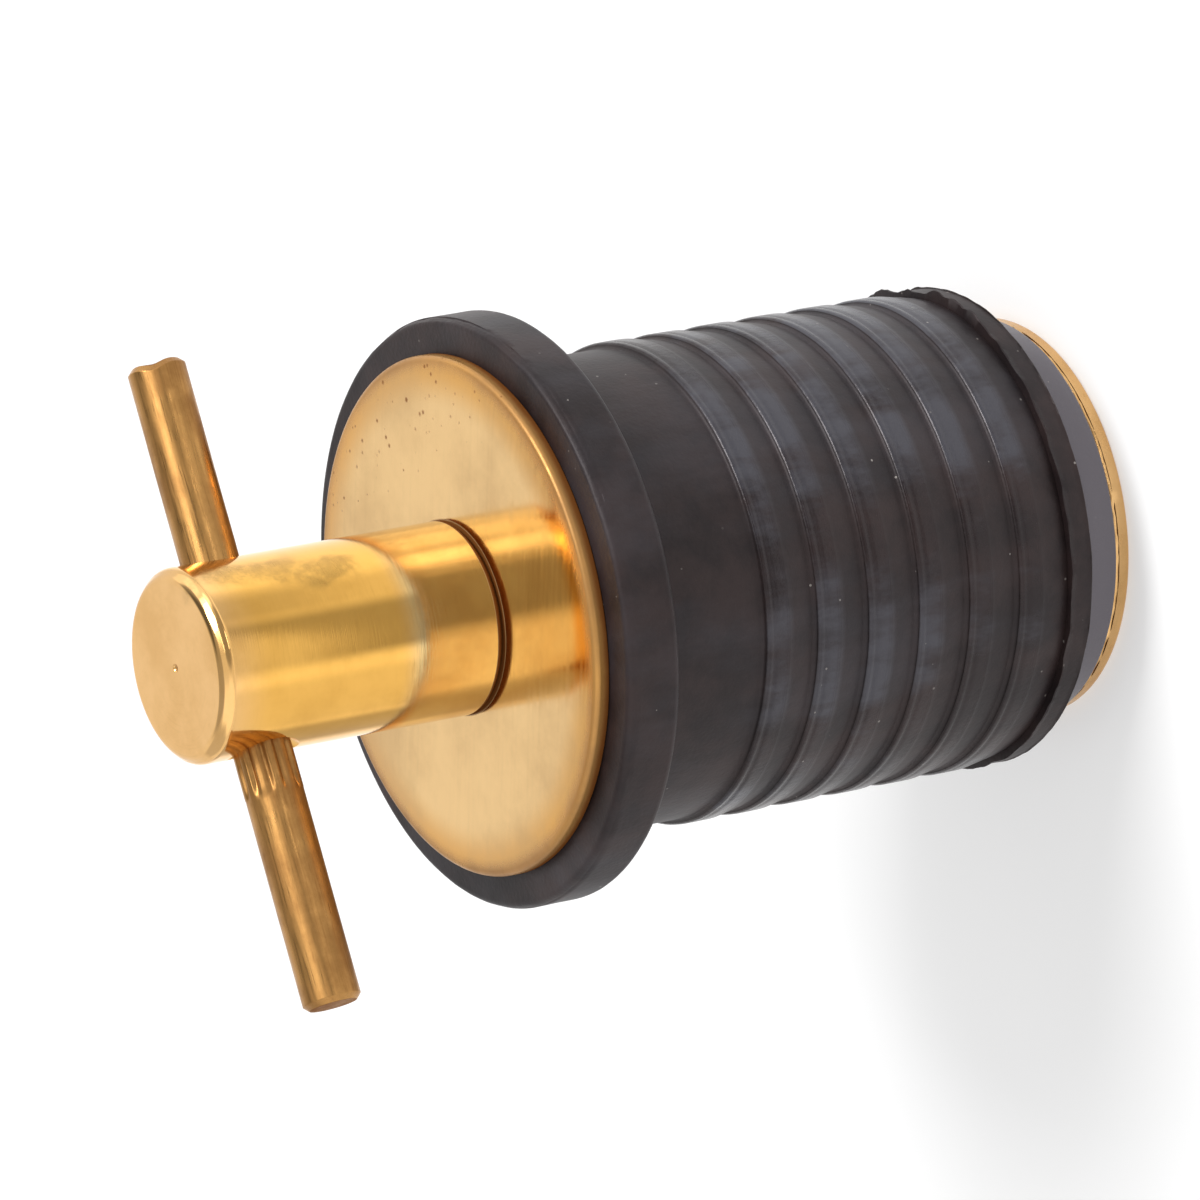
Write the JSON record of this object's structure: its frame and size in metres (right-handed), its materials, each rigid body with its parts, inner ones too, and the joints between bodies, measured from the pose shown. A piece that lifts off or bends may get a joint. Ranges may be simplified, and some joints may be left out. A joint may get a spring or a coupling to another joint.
{
  "type": "drain plug",
  "caption": "Expanding boat drain plug: a ribbed rubber bung between two brass discs, drawn tight by turning a T handle.",
  "frame": {"origin": "centre of the rear plate's outer face, on the plug's axis", "axes": "+Z along the plug's axis from the rear plate to the handle; the cross pin lies along X, its longer end to -X"},
  "size_m": [0.0428, 0.0386, 0.0643],
  "materials": {
    "plate_brass": "stamped, satin",
    "stud_brass": "rolled thread, satin",
    "black_rubber": "moulded, satin",
    "washer_brass": "polished",
    "barrel_brass": "turned and polished",
    "pin_brass": "drawn, satin"
  },
  "bodies": {
    "bung": {"rear_plate": "plate_brass", "threaded_stud": "stud_brass", "rubber_bung": "black_rubber"},
    "washer": {"front_washer": "washer_brass"},
    "handle": {"handle_barrel": "barrel_brass", "cross_pin": "pin_brass"}
  },
  "joints": [
    {"name": "washer_slide", "type": "slide", "parent": "bung", "child": "washer", "axis": [0, 0, -1], "range_m": [0, 0.00381], "deforming": ["rubber_bung"]},
    {"name": "handle_turn", "type": "hinge", "parent": "washer", "child": "handle", "pos_m": [0, 0, 0.0437], "axis": [0, 0, -1], "range_deg": [0, 1080]}
  ],
  "couplings": [
    {"joint": "handle_turn", "follows": "washer_slide", "rad_per_m": 4947.4}
  ]
}
